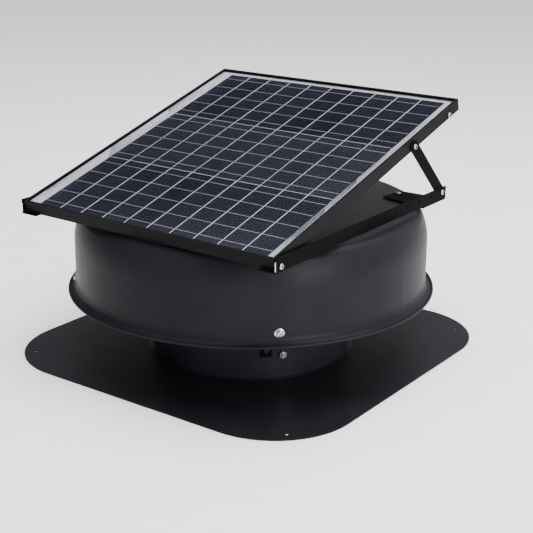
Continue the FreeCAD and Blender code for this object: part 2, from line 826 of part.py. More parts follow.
def blade_section(radius, chord, pitch, thick):
    """Closed cambered outline of a blade at one radius."""
    camber = chord * 0.09
    angle = math.radians(pitch)
    points = []
    upper = ((-0.5, 0), (0, camber), (0.5, 0))
    lower = ((0.5, -thick), (0, camber - thick), (-0.5, -thick))
    for along, lift in upper + lower:
        run = along * chord
        across = run * math.cos(angle) - lift * math.sin(angle)
        up = run * math.sin(angle) + lift * math.cos(angle)
        points.append(FreeCAD.Vector(radius, across, up))
    edges = [
        Part.Arc(points[0], points[1], points[2]).toShape(),
        Part.LineSegment(points[2], points[3]).toShape(),
        Part.Arc(points[3], points[4], points[5]).toShape(),
        Part.LineSegment(points[5], points[0]).toShape(),
    ]
    return Part.Wire(edges)


def fan_blades():
    """Stamped disc with cambered, twisted blades; the twist needs a direct loft."""
    root = sheet.fan_disc - 6
    tip = sheet.throat_dia / 2 - sheet.collar_sheet - sheet.tip_gap
    thick = sheet.fan_sheet
    wires = []
    for share in (0.0, 0.5, 1.0):
        radius = root + (tip - root) * share
        chord = sheet.root_chord + (sheet.tip_chord - sheet.root_chord) * share
        pitch = sheet.root_pitch + (sheet.tip_pitch - sheet.root_pitch) * share
        wires.append(blade_section(radius, chord, pitch, thick))
    blade = doc.addObject("Part::Feature", "BladeLoft")
    blade.Shape = Part.makeLoft(wires, True, False)
    blade.Placement = FreeCAD.Placement(FreeCAD.Vector(0, 0, sheet.blade_plane), FreeCAD.Rotation())
    parts = [rod("FanDisc", d.fan_disc, d.fan_sheet, 0, 0, d.blade_plane)]
    for index in range(BLADES):
        copy = doc.addObject("Part::Feature", "Blade%d" % index)
        copy.Shape = blade.Shape
        turn = FreeCAD.Rotation(FreeCAD.Vector(0, 0, 1), 360.0 / BLADES * index)
        copy.Placement = FreeCAD.Placement(FreeCAD.Vector(0, 0, 0), turn) * blade.Placement
        parts.append(copy)
    bore = rod("FanDiscBore", d.hub_radius - 2, 20, 0, 0, d.blade_plane - 5)
    keep(cut("FanCut", fuse("FanBlank", parts), bore), "fan_blades")


def fan_rivet(name):
    x = (d.hub_radius + d.hub_flange) / 2 + 2
    return rod(name, 2.8, 1.8, x, 0, d.blade_plane + d.fan_sheet)


def fan_nut():
    blank = hexagon("FanNutHex", 8.0, 3.5, 0, 0, d.blade_plane + 10)
    keep(cut("FanNutCut", blank, rod("FanNutBore", d.shaft_radius, 12, 0, 0, d.blade_plane + 6)), "fan_nut")


def thermal_switch():
    case = box("SwitchCase", 64, -7, spider_high, 26, 14, 9)
    plate = box("SwitchPlate", 58, -7, spider_high, 38, 14, 1)
    keep(place(fuse("SwitchFused", [case, plate]), angle=d.spider_turn + 120), "thermal_switch")


# ---------------------------------------------------------------- rails


def rail(side_name, side):
    owner = body("rail_" + side_name)
    ear_rear_front = rail_rear - d.ear_root
    ear_front_rear = -ear_rear_front
    tongue_back = -(rail_rear + 15)
    lift = ear_high + d.rail_lift
    wall = sketch(owner, "Upright", "YZ_Plane", side * rail_in)
    outline(wall, [
        (rail_front, ear_low),
        (ear_front_rear, ear_low),
        (ear_front_rear, lift),
        (ear_rear_front, lift),
        (ear_rear_front, ear_low),
        (rail_rear, ear_low),
        (rail_rear, d.rail_top),
        (rail_front, d.rail_top),
    ])
    pad(owner, "UprightPad", wall, d.rail_sheet, side < 0)
    tip_x = rail_out - d.ear_reach
    rear_ear = sketch(owner, "RearEar", "XY_Plane", ear_low)
    outline(rear_ear, [
        (side * rail_out, ear_rear_front),
        (side * rail_out, rail_rear),
        (side * tip_x, rail_rear - 3),
        (side * (tip_x - 3.5), rail_rear - 3 - d.ear_tip),
    ])
    pad(owner, "RearEarPad", rear_ear, d.rail_sheet)
    front_ear = sketch(owner, "FrontEar", "XY_Plane", ear_low)
    outline(front_ear, [
        (side * rail_out, rail_front),
        (side * rail_out, ear_front_rear),
        (side * (tip_x - 3.5), -(rail_rear - 3 - d.ear_tip)),
        (side * tip_x, -(rail_rear - 3)),
        (side * (rail_out - d.nose_width), tongue_back),
        (side * (rail_out - d.nose_width), rail_front),
    ])
    pad(owner, "FrontEarPad", front_ear, d.rail_sheet)
    pivots = sketch(owner, "PivotHoles", "YZ_Plane", side * rail_in)
    circle_in(pivots, hinge_y, hinge_z, d.screw_radius + d.pivot_gap)
    circle_in(pivots, d.prop_foot_y, prop_foot_z, d.screw_radius)
    for index in range(1, SPARE_HOLES + 1):
        circle_in(pivots, d.prop_foot_y - index * d.hole_pitch, prop_foot_z, d.screw_radius + 0.7)
    drill(owner, "PivotDrilling", pivots)
    screws = sketch(owner, "EarHoles", "XY_Plane", ear_low)
    circle_in(screws, side * ear_screw_x, ear_screw_y, d.screw_radius)
    circle_in(screws, side * ear_screw_x, -ear_screw_y, d.screw_radius)
    drill(owner, "EarDrilling", screws)


def at_ears(label, make):
    """One piece at each of the four ear screws."""
    parts = []
    for sign_x in (-1, 1):
        for sign_y in (-1, 1):
            name = "%s_%d%d" % (label, sign_x + 1, sign_y + 1)
            parts.append(make(name, sign_x * ear_screw_x, sign_y * ear_screw_y))
    keep(group(label + "_set", parts), label)


def ear_pad(name, x, y):
    disc = rod(name + "_disc", 8.0, d.pad_thick, x, y, d.hood_top)
    return cut(name, disc, rod(name + "_bore", d.screw_radius, 8, x, y, d.hood_top - 2))


def ear_screw(name, x, y):
    low = d.hood_top - d.hood_sheet - 6
    return fuse(name, [
        rod(name + "_head", d.head_radius, d.head_height, x, y, ear_high),
        rod(name + "_shank", d.screw_radius, ear_high - low, x, y, low),
    ])


def ear_nut(name, x, y):
    top = d.hood_top - d.hood_sheet
    blank = hexagon(name + "_hex", 4.6, 3.2, x, y, top - 3.2)
    return cut(name, blank, rod(name + "_bore", d.screw_radius, 12, x, y, top - 8))


# ---------------------------------------------------------------- panel


def frame_strip(where, near, far):
    """Corner and size, in plan, of a strip at a depth from the frame's outer face."""
    half = d.panel_width / 2
    wide = far - near
    if where == "left":
        return -half + near, panel_front - 5, wide, d.panel_length + 10
    if where == "right":
        return half - far, panel_front - 5, wide, d.panel_length + 10
    if where == "front":
        return -half - 5, panel_front + near, d.panel_width + 10, wide
    return -half - 5, panel_rear - far, d.panel_width + 10, wide


def frame_corners(where):
    half = d.panel_width / 2
    foot = d.frame_foot
    plan = {
        "left": [(-half, panel_front), (-half + foot, panel_front + foot),
                 (-half + foot, panel_rear - foot), (-half, panel_rear)],
        "right": [(half, panel_front), (half, panel_rear),
                  (half - foot, panel_rear - foot), (half - foot, panel_front + foot)],
        "front": [(-half, panel_front), (half, panel_front),
                  (half - foot, panel_front + foot), (-half + foot, panel_front + foot)],
        "rear": [(-half, panel_rear), (-half + foot, panel_rear - foot),
                 (half - foot, panel_rear - foot), (half, panel_rear)],
    }
    return plan[where]


def frame_rail(where):
    """Mitred extrusion: wall, lip over the glass, ledge under it and a foot."""
    owner = doc.addObject("PartDesign::Body", "frame_block_" + where)
    profile = sketch(owner, "FramePlan", "XY_Plane", frame_low)
    outline(profile, frame_corners(where))
    pad(owner, "FrameBlock", profile, d.frame_depth)
    foot_high = frame_low + d.frame_web
    voids = (
        ("Inner", d.frame_ledge, d.frame_foot + 1, foot_high, frame_top + 1),
        ("Window", d.frame_lip, d.frame_ledge + 1, glass_top, frame_top + 1),
        ("Slot", d.frame_wall, d.frame_ledge + 1, laminate_low, glass_top),
        ("Channel", d.frame_wall, d.frame_ledge + 1, foot_high, ledge_low),
    )
    tools = []
    for name, near, far, low, high in voids:
        x, y, wide, deep = frame_strip(where, near, far)
        tools.append(box("Frame%s_%s" % (name, where), x, y, low, wide, deep, high - low))
    if where in ("left", "right"):
        side = -1 if where == "left" else 1
        for reach in (0, d.prop_reach, d.stop_reach):
            start = side * (d.panel_width / 2) - 4
            tools.append(rod("FrameHole_" + where, d.screw_radius, 8, start, reach, 0, "x"))
    tilted(cut("FrameCut_" + where, owner, fuse("FrameVoids_" + where, tools)), "frame_" + where)


def corner_key(name, side_x, side_y):
    """Angle block pushed into the channel at a mitred corner."""
    low = frame_low + d.frame_web
    high = ledge_low - low
    half = d.panel_width / 2 - d.frame_wall
    arm = d.frame_ledge - d.frame_wall - 0.2
    reach = 34.0
    x = half - arm if side_x > 0 else -half
    x_run = half - reach if side_x > 0 else -half
    edge = panel_rear - d.frame_wall if side_y > 0 else panel_front + d.frame_wall
    y = edge - arm if side_y > 0 else edge
    y_run = edge - 26.0 if side_y > 0 else edge
    run_length = 26.0
    if side_y < 0:
        y = edge
        y_run = edge
    short = box(name + "_x", x_run, y, low, reach, arm, high)
    long = box(name + "_y", x, y_run, low, arm, run_length, high)
    return fuse(name, [short, long])


def corner_keys():
    parts = []
    for side_x in (-1, 1):
        for side_y in (-1, 1):
            key = corner_key("Key%d%d" % (side_x + 1, side_y + 1), side_x, side_y)
            hinge = rod("KeyHole%d%d" % (side_x + 1, side_y + 1), 3.05, 30,
                        side_x * (d.panel_width / 2) - 15, 0, 0, "x")
            parts.append(cut("KeyCut%d%d" % (side_x + 1, side_y + 1), key, hinge))
    tilted(group("CornerKeySet", parts), "frame_corner_keys")


def layer(name, low, thick):
    edge = d.frame_wall + d.glass_gap
    return box(name, -d.panel_width / 2 + edge, panel_front + edge, low,
               d.panel_width - edge * 2, d.panel_length - edge * 2, thick)


def cell_field(name, low, thick):
    """Three rows of ten quarter cells."""
    pitch_x = d.cell_width + d.cell_gap
    pitch_y = d.cell_length + d.row_gap
    start_x = d.cell_shift - (pitch_x * CELL_COLUMNS - d.cell_gap) / 2
    start_y = panel_front + d.cell_front
    parts = []
    for column in range(CELL_COLUMNS):
        for row in range(CELL_ROWS):
            parts.append(box("%s_%d_%d" % (name, column, row), start_x + column * pitch_x,
                             start_y + row * pitch_y, low, d.cell_width, d.cell_length, thick))
    return group(name, parts)


def laminate():
    tilted(layer("Glass", glass_low, d.glass_thick), "glass_pane")
    cells = cell_field("Cells", glass_low - d.cell_thick, d.cell_thick)
    pockets = cell_field("CellPockets", glass_low - d.cell_thick, d.cell_thick + 1)
    resin = layer("Resin", resin_low, d.resin_thick)
    tilted(cut("ResinCut", resin, pockets), "encapsulant")
    tilted(cells, "solar_cells")
    tilted(layer("Backsheet", laminate_low, d.sheet_thick), "backsheet")


def junction_box():
    middle = panel_rear - d.box_from_rear
    lid = 2.0
    wall = 2.0
    low = laminate_low - d.box_height
    x = -d.box_width / 2
    y = middle - d.box_length / 2
    case = box("CaseBlock", x, y, low + lid, d.box_width, d.box_length, d.box_height - lid)
    room = box("CaseRoom", x + wall, y + wall, low, d.box_width - wall * 2, d.box_length - wall * 2,
               d.box_height - wall)
    level = low + 6.0
    outlet = rod("CaseOutlet", 3.0, 12, 0, y - 4, level, "y")
    tilted(cut("CaseCut", case, fuse("CaseTools", [room, outlet])), "junction_box")
    tilted(box("CaseLid", x, y, low, d.box_width, d.box_length, lid), "junction_lid")
    gland = rod("GlandBody", 3.9, 9, 0, y - 9, level, "y")
    spigot = rod("GlandSpigot", 3.0, 9 + wall, 0, y - 9, level, "y")
    bore = rod("GlandBore", 2.3, 20, 0, y - 14, level, "y")
    tilted(cut("GlandCut", fuse("GlandFused", [gland, spigot]), bore), "junction_gland")


def both_sides(label, make):
    """One piece on each side of the panel, in the panel's frame."""
    parts = [make(label + "_" + name, side) for name, side in SIDES]
    tilted(group(label + "_set", parts), label)


def side_rod(name, side, radius, near, far, reach):
    """Round piece on a side-to-side axis between two distances from the middle."""
    start = near if side > 0 else -far
    return rod(name, radius, far - near, start, reach, 0, "x")


def hinge_screw(name, side):
    seat = rail_out + 0.3
    return fuse(name, [
        side_rod(name + "_head", side, d.head_radius, seat, seat + d.head_height, 0),
        side_rod(name + "_shank", side, d.screw_radius, d.panel_width / 2 - 11, seat, 0),
    ])


def hinge_spacer(name, side):
    near = d.panel_width / 2
    far = rail_in - 0.3
    disc = side_rod(name + "_disc", side, 4.6, near, far, 0)
    return cut(name, disc, side_rod(name + "_bore", side, d.screw_radius, near - 2, far + 2, 0))


def prop_pivot_screw(name, side):
    seat = prop_in + d.prop_thick + 0.3
    return fuse(name, [
        side_rod(name + "_head", side, d.head_radius, seat, seat + d.head_height, d.prop_reach),
        side_rod(name + "_shank", side, d.screw_radius, d.panel_width / 2 - 11, seat, d.prop_reach),
    ])


def stop_screw(name, side):
    seat = d.panel_width / 2
    return fuse(name, [
        side_rod(name + "_head", side, d.head_radius, seat, seat + d.head_height, d.stop_reach),
        side_rod(name + "_shank", side, d.screw_radius, seat - 11, seat, d.stop_reach),
    ])


def frame_insert(name, side):
    """Rivet nuts inside the frame wall for the hinge, prop and rear screws."""
    far = d.panel_width / 2 - d.frame_wall
    parts = []
    for index, reach in enumerate((0, d.prop_reach, d.stop_reach)):
        label = "%s_%d" % (name, index)
        barrel = side_rod(label + "_barrel", side, 3.0, far - 8, far, reach)
        bore = side_rod(label + "_bore", side, d.screw_radius, far - 12, far + 2, reach)
        parts.append(cut(label, barrel, bore))
    return group(name, parts)


# ---------------------------------------------------------------- props


def prop(side_name, side):
    """Flat bar from the panel's side down to the rail, round at both ends."""
    near = prop_in if side > 0 else -(prop_in + d.prop_thick)
    half = d.prop_width / 2
    name = "Prop" + side_name
    bar = fuse(name + "Bar", [
        box(name + "Flat", near, 0, -half, d.prop_thick, prop_length, d.prop_width),
        rod(name + "Top", half, d.prop_thick, near, 0, 0, "x"),
        rod(name + "Foot", half, d.prop_thick, near, prop_length, 0, "x"),
    ])
    holes = fuse(name + "Holes", [
        rod(name + "TopHole", d.screw_radius + d.pivot_gap, 12, near - 5, 0, 0, "x"),
        rod(name + "FootHole", d.screw_radius + 0.3, 12, near - 5, prop_length, 0, "x"),
    ])
    whole = cut(name + "Cut", bar, holes)
    place(whole, 0, prop_top_y, prop_top_z, (1, 0, 0), prop_angle)
    keep(whole, "prop_" + side_name)


def prop_foot_screws():
    """Screws through the rails that end just short of the props' feet."""
    parts = []
    for side_name, side in SIDES:
        end = rail_in - d.side_gap / 2
        name = "PropFootScrew" + side_name
        head_start = rail_out if side > 0 else -(rail_out + d.head_height)
        shank_start = end if side > 0 else -rail_out
        parts.append(fuse(name, [
            rod(name + "Head", d.head_radius, d.head_height,
                head_start, d.prop_foot_y, prop_foot_z, "x"),
            rod(name + "Shank", d.screw_radius, rail_out - end,
                shank_start, d.prop_foot_y, prop_foot_z, "x"),
        ]))
    keep(group("PropFootScrews", parts), "prop_foot_screws")


# ---------------------------------------------------------------- assembly


def build():
    base_flange()
    throat_collar()
    hood_shell()
    hood_grommet()
    around("hood_brackets", BRACKETS, d.bracket_turn, drilled_bracket)
    around("hood_side_screws", BRACKETS, d.bracket_turn, hood_side_screw)
    around("bracket_nuts", BRACKETS, d.bracket_turn, bracket_nut)
    around("strap_screws", BRACKETS, d.bracket_turn, strap_screw)
    motor_spider()
    around("spider_bolts", ARMS, d.spider_turn, spider_bolt)
    around("spider_nuts", ARMS, d.spider_turn, spider_nut)
    inlet_guard()
    around("guard_clips", ARMS, d.spider_turn, guard_clip)
    motor_case()
    bearing("bearing_lower", spider_high + d.motor_wall)
    bearing("bearing_upper", motor_top - d.motor_wall - d.bearing_height)
    stator()
    around("stator_coils", 9, 0, stator_coil)
    around("motor_screws", 3, 0, motor_screw)
    thermal_switch()
    rotor()
    fan_hub()
    fan_blades()
    around("fan_rivets", 4, 45, fan_rivet)
    fan_nut()
    for side_name, side in SIDES:
        rail(side_name, side)
    at_ears("rail_pads", ear_pad)
    at_ears("rail_screws", ear_screw)
    at_ears("rail_nuts", ear_nut)
    for where in ("front", "rear", "left", "right"):
        frame_rail(where)
    corner_keys()
    laminate()
    junction_box()
    both_sides("hinge_screws", hinge_screw)
    both_sides("hinge_spacers", hinge_spacer)
    both_sides("prop_pivot_screws", prop_pivot_screw)
    both_sides("stop_screws", stop_screw)
    both_sides("frame_inserts", frame_insert)
    for side_name, side in SIDES:
        prop(side_name, side)
    prop_foot_screws()


def check():
    """Every object is up to date and every sub-part is a valid, closed shape."""
    faults = []
    for item in doc.Objects:
        if "Invalid" in item.State or "Error" in item.State:
            faults.append("%s %s" % (item.Name, item.State))
    for item in nodes:
        shape = item.Shape
        if shape.isNull() or not shape.isValid() or not shape.Solids:
            faults.append(item.Label + " has no valid shape")
    if faults:
        raise RuntimeError("; ".join(faults))


def export():
    os.makedirs("parts", exist_ok=True)
    for item in nodes:
        size = item.Shape.BoundBox
        print("%-20s solids %2d  %7.1f %7.1f %7.1f  vol %10.1f" % (
            item.Label, len(item.Shape.Solids), size.XLength, size.YLength, size.ZLength, item.Shape.Volume))
        item.Shape.exportStep("parts/%s.step" % item.Label)
    print(len(nodes), "sub-parts")


build()
doc.recompute()
check()
export()
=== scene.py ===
# %% [markdown]
# # Solar attic fan
# A roof ventilator: a square flashing plate with a round throat, a drum hood on four straps,
# and a small solar panel that is propped up on two rails. The shapes come from the packed
# model, which this script loads as a fixed frame. The cells below give every piece its finish,
# and rebuild in finer detail the pieces whose edges and heads catch the light.

import json
import math

import bmesh
import bpy
from mathutils import Matrix, Vector


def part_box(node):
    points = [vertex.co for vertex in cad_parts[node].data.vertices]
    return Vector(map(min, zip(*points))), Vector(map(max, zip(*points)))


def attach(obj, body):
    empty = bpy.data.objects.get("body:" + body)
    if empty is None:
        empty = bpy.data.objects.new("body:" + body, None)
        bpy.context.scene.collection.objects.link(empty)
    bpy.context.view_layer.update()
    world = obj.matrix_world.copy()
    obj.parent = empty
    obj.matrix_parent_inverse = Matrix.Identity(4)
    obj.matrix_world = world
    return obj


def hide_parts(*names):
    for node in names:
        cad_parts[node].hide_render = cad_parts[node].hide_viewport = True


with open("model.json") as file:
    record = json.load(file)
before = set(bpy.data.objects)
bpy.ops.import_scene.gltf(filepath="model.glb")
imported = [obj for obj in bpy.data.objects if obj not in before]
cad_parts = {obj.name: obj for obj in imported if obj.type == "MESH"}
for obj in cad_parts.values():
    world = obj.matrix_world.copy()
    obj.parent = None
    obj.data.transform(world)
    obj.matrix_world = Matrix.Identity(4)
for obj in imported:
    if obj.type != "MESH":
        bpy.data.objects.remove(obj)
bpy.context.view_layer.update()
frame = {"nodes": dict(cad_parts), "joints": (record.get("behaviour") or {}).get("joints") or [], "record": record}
nodes = frame["nodes"]
record = frame["record"]
MM = 0.001

# %% [markdown]
# The panel is drawn tilted about its hinge. Its pieces need the hinge's place and the slope's
# direction. The record's joints give both: the hinge and the props' upper pivots lie on one
# line along the panel's frame, so the line's rise over its run is the tilt.

# %% The panel's own axes
joints = {joint["name"]: joint for joint in frame["joints"]}
hinge = Vector(joints["panel_tilt"]["pos_m"])
pivot = Vector(joints["prop_right_swing"]["pos_m"])
slot_of = {part["node"]: part["material_slot"] for part in record["subparts"]}
TILT = math.atan2(pivot.z - hinge.z, pivot.y - hinge.y)
tilted = Matrix.Translation(hinge) @ Matrix.Rotation(TILT, 4, "X")
flat = tilted.inverted()


def panel_box(name):
    """Lowest and highest corner of a panel node, measured in the panel's own axes."""
    spots = [flat @ vertex.co for vertex in nodes[name].data.vertices]
    low = Vector([min(spot[axis] for spot in spots) for axis in range(3)])
    high = Vector([max(spot[axis] for spot in spots) for axis in range(3)])
    return low, high


print("tilt %.2f degrees" % math.degrees(TILT))

# %% [markdown]
# ## Camera, floor and light
# The camera stands at the front right, a little above the panel, with a long lens. The floor
# is plain and pale. Dark satin metal shows its form only through what it mirrors, so the lamps
# are large and soft: one low at the right draws the broad light on the hood's side, one
# overhead lights plate, panel and floor, and the world is brighter on the right than the left.

# %% Camera
EYE = Vector((1.058671, -1.41371, 0.717446))
RIGHT = Vector((0.80724, 0.590197, 0.005612))
UP = Vector((-0.192734, 0.254601, 0.947646))
BACK = Vector((0.557869, -0.766059, 0.319275))
LENS = 81.944916
SENSOR = 36.0

camera_data = bpy.data.cameras.new("camera")
camera_data.sensor_width = SENSOR
camera_data.lens = LENS
camera_data.clip_start = 0.05
camera_data.clip_end = 50
camera = bpy.data.objects.new("camera", camera_data)
turn = Matrix((RIGHT, UP, BACK)).transposed()
camera.matrix_world = Matrix.Translation(EYE) @ turn.to_4x4()
bpy.context.scene.collection.objects.link(camera)
bpy.context.scene.camera = camera
print("lens %.1f mm" % camera_data.lens)

# %% Helpers for materials


def linear(code):
    """The colour that a screen shows for an sRGB hex code, as linear light."""
    shares = [int(code[start:start + 2], 16) / 255 for start in (1, 3, 5)]
    light = [
        share / 12.92 if share <= 0.04045 else ((share + 0.055) / 1.055) ** 2.4
        for share in shares
    ]
    return (*light, 1.0)


def add(tree, kind, links=None, values=None, **settings):
    """Add a shader node with its settings, its socket values and its incoming links."""
    item = tree.nodes.new("ShaderNode" + kind)
    for name, value in settings.items():
        setattr(item, name, value)
    for socket, value in (values or {}).items():
        item.inputs[socket].default_value = value
    for socket, source in (links or {}).items():
        tree.links.new(source, item.inputs[socket])
    return item


def start(name, **values):
    """A material with one Principled shader, and the object's own coordinates."""
    material = bpy.data.materials.new(name)
    material.use_nodes = True
    tree = material.node_tree
    tree.nodes.clear()
    named = {key.replace("_", " "): value for key, value in values.items()}
    shader = add(tree, "BsdfPrincipled", values=named)
    add(tree, "OutputMaterial", links={"Surface": shader.outputs[0]})
    place = add(tree, "TexCoord").outputs["Object"]
    return material, tree, shader, place


def colour_between(tree, factor, low, high, from_low=0.3, from_high=0.7):
    """Blend two hex colours by a pattern's strength."""
    ramp = add(tree, "ValToRGB", links={"Fac": factor})
    ramp.color_ramp.elements[0].position = from_low
    ramp.color_ramp.elements[0].color = linear(low)
    ramp.color_ramp.elements[1].position = from_high
    ramp.color_ramp.elements[1].color = linear(high)
    return ramp.outputs["Color"]


def per_metre(millimetres):
    """Texture scale whose pattern repeats about once in so many millimetres."""
    return 1000.0 / millimetres


# %% Floor and lights
floor_mesh = bpy.data.meshes.new("floor")
shape = bmesh.new()
bmesh.ops.create_grid(shape, x_segments=1, y_segments=1, size=40)
shape.to_mesh(floor_mesh)
shape.free()
floor = bpy.data.objects.new("floor", floor_mesh)
floor.location.z = -0.0005
bpy.context.scene.collection.objects.link(floor)
paper, tree, shader, place = start("floor_paper", Roughness=0.9)
grain = add(tree, "TexNoise", links={"Vector": place}, values={"Scale": per_metre(60.0), "Detail": 4.0})
tree.links.new(colour_between(tree, grain.outputs["Fac"], "#f4f4f5", "#f8f8f8"), shader.inputs["Base Color"])
floor_mesh.materials.append(paper)

world = bpy.data.worlds.new("studio")
world.use_nodes = True
sky = world.node_tree
sky.nodes["Background"].inputs["Strength"].default_value = 1.45
BRIGHT_SIDE = (0.93, 0.1, 0.35)
aim = add(sky, "TexCoord").outputs["Generated"]
facing = add(sky, "VectorMath", links={0: aim}, values={1: BRIGHT_SIDE}, operation="DOT_PRODUCT")
share = add(sky, "MapRange", links={"Value": facing.outputs["Value"]},
            values={"From Min": -1.0, "From Max": 1.0})
bright = colour_between(sky, share.outputs["Result"], "#8b8c92", "#f6f6f8", 0.15, 0.8)
sky.links.new(bright, sky.nodes["Background"].inputs["Color"])
bpy.context.scene.world = world


def lamp(name, place, aim, width, height, power):
    """A soft rectangular white lamp that faces a point."""
    data = bpy.data.lights.new(name, "AREA")
    data.shape = "RECTANGLE"
    data.size = width
    data.size_y = height
    data.energy = power
    item = bpy.data.objects.new(name, data)
    item.location = place
    item.rotation_euler = (Vector(aim) - Vector(place)).to_track_quat("-Z", "Y").to_euler()
    bpy.context.scene.collection.objects.link(item)


lamp("key_right", (2.0, -0.75, 0.6), (0.0, 0.0, 0.15), 0.8, 1.0, 42)
lamp("key_top", (0.3, 0.2, 2.7), (0.0, 0.0, 0.2), 2.4, 2.4, 150)
print("floor, world and two lamps")

# %% [markdown]
# ## Finishes
# Hood, throat, plate, straps, rails and props are steel with a black powder coat. Powder is
# sprayed on dry and melts in an oven into a satin skin with a faint orange peel, so the
# finish is a dielectric of middling roughness, with a fine bump and a slow drift of tone.
# The real peel is under a millimetre, so it is drawn at 1.4 mm to show at all.


# %% Powder coat
def powder_coat(name, low, high, roughness, sheen, peel_mm=1.4):
    material, tree, shader, place = start(name, IOR=1.5, Specular_IOR_Level=sheen)
    drift = add(tree, "TexNoise", links={"Vector": place}, values={"Scale": per_metre(70.0), "Detail": 3.0})
    tree.links.new(colour_between(tree, drift.outputs["Fac"], low, high), shader.inputs["Base Color"])
    haze = add(tree, "TexNoise", links={"Vector": place}, values={"Scale": per_metre(25.0), "Detail": 5.0})
    rough = add(tree, "MapRange", links={"Value": haze.outputs["Fac"]},
                values={"To Min": roughness - 0.04, "To Max": roughness + 0.05})
    tree.links.new(rough.outputs["Result"], shader.inputs["Roughness"])
    peel = add(tree, "TexNoise", links={"Vector": place}, values={"Scale": per_metre(peel_mm), "Detail": 2.0})
    bump = add(tree, "Bump", links={"Height": peel.outputs["Fac"]},
               values={"Strength": 0.12, "Distance": 0.00012})
    tree.links.new(bump.outputs["Normal"], shader.inputs["Normal"])
    return material


hood_coat = powder_coat("powder_coat_hood", "#151418", "#1a191e", 0.42, sheen=0.07)
plate_coat = powder_coat("powder_coat_plate", "#121115", "#18171c", 0.46, sheen=0.1)
collar_coat = powder_coat("powder_coat_collar", "#141318", "#1b1a20", 0.36, sheen=0.15)
rail_coat = powder_coat("powder_coat_rails", "#090909", "#0d0d0e", 0.5, sheen=0.01)
print("powder coats ready")

# %% [markdown]
# The panel's frame is extruded aluminium, anodised black. Anodising grows a hard clear oxide
# that is dyed, so the metal's glint still comes through as a dull satin sheen, and the press
# leaves faint streaks along each bar.


# %% Anodised aluminium
def anodised(name, low, high, along):
    material, tree, shader, place = start(name, Metallic=0.05, IOR=1.5, Specular_IOR_Level=0.04)
    turned = add(tree, "Mapping", links={"Vector": place}, vector_type="TEXTURE",
                 values={"Location": hinge, "Rotation": (TILT, 0, 0)})
    stretch = [per_metre(1.2)] * 3
    stretch[along] = per_metre(160.0)
    drawn = add(tree, "Mapping", links={"Vector": turned.outputs[0]}, values={"Scale": stretch})
    streak = add(tree, "TexNoise", links={"Vector": drawn.outputs[0]}, values={"Scale": 1.0, "Detail": 3.0})
    tree.links.new(colour_between(tree, streak.outputs["Fac"], low, high), shader.inputs["Base Color"])
    rough = add(tree, "MapRange", links={"Value": streak.outputs["Fac"]},
                values={"To Min": 0.36, "To Max": 0.5})
    tree.links.new(rough.outputs["Result"], shader.inputs["Roughness"])
    return material


frame_across = anodised("anodised_across", "#0a0a0b", "#101012", 0)
frame_along = anodised("anodised_along", "#0a0a0b", "#101012", 1)
print("anodised bars ready")

# %% [markdown]
# Screws are zinc plated: bright, a little blue, with fine turning marks and cloudy patches.
# The straps' screws and the nuts under the hood have black zinc instead. Cast and turned
# motor parts, the galvanised spider, bearing steel and copper wire differ in tone, roughness
# and in how their patches look, so one function makes all of the bare metals.


# %% Bare metals
def bare_metal(name, low, high, roughness, patch_mm=6.0, grit_mm=0.5, bump_share=0.1):
    material, tree, shader, place = start(name, Metallic=1.0)
    patch_values = {"Scale": per_metre(patch_mm), "Detail": 6.0}
    patch = add(tree, "TexNoise", links={"Vector": place}, values=patch_values)
    tree.links.new(colour_between(tree, patch.outputs["Fac"], low, high), shader.inputs["Base Color"])
    rough = add(tree, "MapRange", links={"Value": patch.outputs["Fac"]},
                values={"To Min": roughness - 0.06, "To Max": roughness + 0.08})
    tree.links.new(rough.outputs["Result"], shader.inputs["Roughness"])
    grit = add(tree, "TexNoise", links={"Vector": place}, values={"Scale": per_metre(grit_mm), "Detail": 2.0})
    bump = add(tree, "Bump", links={"Height": grit.outputs["Fac"]},
               values={"Strength": bump_share, "Distance": 0.00005})
    tree.links.new(bump.outputs["Normal"], shader.inputs["Normal"])
    return material


zinc = bare_metal("zinc_plate", "#7f8288", "#a6a9af", 0.2)
black_zinc = bare_metal("black_zinc", "#26262a", "#3a3a40", 0.4)
galvanised = bare_metal("galvanised_sheet", "#8d9196", "#b4b8bd", 0.42, patch_mm=14.0)
bearing_steel = bare_metal("ground_steel", "#a8abb0", "#c6c8cc", 0.22)
core_steel = bare_metal("laminated_steel", "#5c5e63", "#7a7c80", 0.45, grit_mm=0.6, bump_share=0.4)
ferrite = bare_metal("ferrite_magnet", "#2c2d30", "#3d3e42", 0.5)
copper = bare_metal("enamelled_copper", "#8a3f1c", "#b4602f", 0.3, grit_mm=0.8, bump_share=0.5)
fan_sheet = bare_metal("mill_aluminium", "#a9adb3", "#c9ccd1", 0.34, patch_mm=18.0)
cast_alloy = bare_metal("cast_aluminium", "#8b8e93", "#a7aaae", 0.46, grit_mm=0.9, bump_share=0.4)
print("bare metals ready")


# %% [markdown]
# Moulded pieces: the junction box, its lid and gland, the guard's clips, the corner keys, the
# thermostat, and the rubber of grommet and washers. Moulding copies a spark-eroded tool, so
# these have a fine dull grain. The laminate's resin and its rear sheet are pale plastics.


